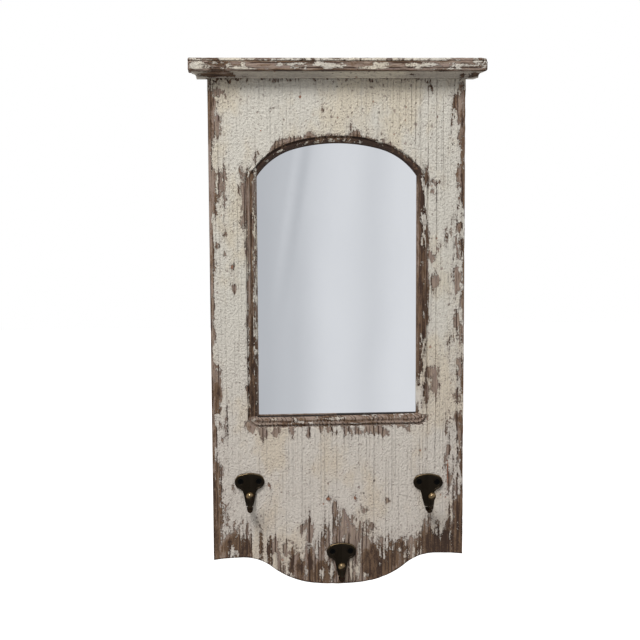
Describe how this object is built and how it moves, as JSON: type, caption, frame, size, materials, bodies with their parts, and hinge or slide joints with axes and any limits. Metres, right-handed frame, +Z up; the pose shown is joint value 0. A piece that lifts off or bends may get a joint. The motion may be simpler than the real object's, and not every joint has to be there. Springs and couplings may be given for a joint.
{
  "type": "mirror with hooks",
  "caption": "Arched wall mirror in a painted wooden board with a moulded crown, a scalloped foot and cast coat hooks, with its backing, turn buttons and ring hangers behind.",
  "frame": {"origin": "on the back of the board, on its centre line, midway between the two hanger pins", "axes": "+X to the viewer's right as the mirror is seen, +Y back into the wall, +Z up"},
  "size_m": [0.349, 0.0542, 0.6325],
  "materials": {
    "painted_board": "chipped cream paint on softwood",
    "painted_crown": "worn cream paint over brown wood",
    "painted_moulding": "worn cream paint",
    "nail_steel": "dull steel",
    "mirror_glass": "silvered glass",
    "card": "plain card",
    "hardboard": "unpainted hardboard",
    "plated_steel": "zinc plated",
    "screw_steel": "zinc plated",
    "pad_rubber": "soft rubber",
    "hook_bronze": "antique bronze over casting",
    "dark_screws": "blackened"
  },
  "bodies": {
    "board": {"panel": "painted_board", "crown_cap": "painted_crown", "crown_moulding_front": "painted_moulding", "crown_moulding_left": "painted_moulding", "crown_moulding_right": "painted_moulding", "crown_nails": "nail_steel", "moulding_brads": "nail_steel", "mirror_glass": "mirror_glass", "cushion_sheet": "card", "backing_board": "hardboard", "turn_button_screws": "screw_steel", "hanger_strap_left": "plated_steel", "hanger_strap_right": "plated_steel", "hanger_screws": "screw_steel", "wall_pads": "pad_rubber", "hook_left": "hook_bronze", "hook_mid": "hook_bronze", "hook_right": "hook_bronze", "hook_screws": "dark_screws"},
    "button_left_upper": {"turn_button_left_upper": "plated_steel"},
    "button_left_lower": {"turn_button_left_lower": "plated_steel"},
    "button_right_upper": {"turn_button_right_upper": "plated_steel"},
    "button_right_lower": {"turn_button_right_lower": "plated_steel"},
    "button_top": {"turn_button_top": "plated_steel"},
    "button_bottom": {"turn_button_bottom": "plated_steel"},
    "ring_left": {"hanger_ring_left": "plated_steel"},
    "ring_right": {"hanger_ring_right": "plated_steel"}
  },
  "joints": [
    {"name": "button_left_upper_turn", "type": "hinge", "parent": "board", "child": "button_left_upper", "pos_m": [-0.111, 0.0007, -0.0935], "axis": [0, 1, 0], "continuous": true},
    {"name": "button_left_lower_turn", "type": "hinge", "parent": "board", "child": "button_left_lower", "pos_m": [-0.111, 0.0007, -0.3095], "axis": [0, 1, 0], "continuous": true},
    {"name": "button_right_upper_turn", "type": "hinge", "parent": "board", "child": "button_right_upper", "pos_m": [0.111, 0.0007, -0.0935], "axis": [0, 1, 0], "continuous": true},
    {"name": "button_right_lower_turn", "type": "hinge", "parent": "board", "child": "button_right_lower", "pos_m": [0.111, 0.0007, -0.3095], "axis": [0, 1, 0], "continuous": true},
    {"name": "button_top_turn", "type": "hinge", "parent": "board", "child": "button_top", "pos_m": [0, 0.0007, -0.0235], "axis": [0, 1, 0], "continuous": true},
    {"name": "button_bottom_turn", "type": "hinge", "parent": "board", "child": "button_bottom", "pos_m": [0, 0.0007, -0.3795], "axis": [0, 1, 0], "continuous": true},
    {"name": "ring_left_swing", "type": "hinge", "parent": "board", "child": "ring_left", "pos_m": [-0.108, 0.00215, 0], "axis": [1, 0, 0], "range_deg": [0, 180]},
    {"name": "ring_right_swing", "type": "hinge", "parent": "board", "child": "ring_right", "pos_m": [0.108, 0.00215, 0], "axis": [1, 0, 0], "range_deg": [0, 180]}
  ]
}
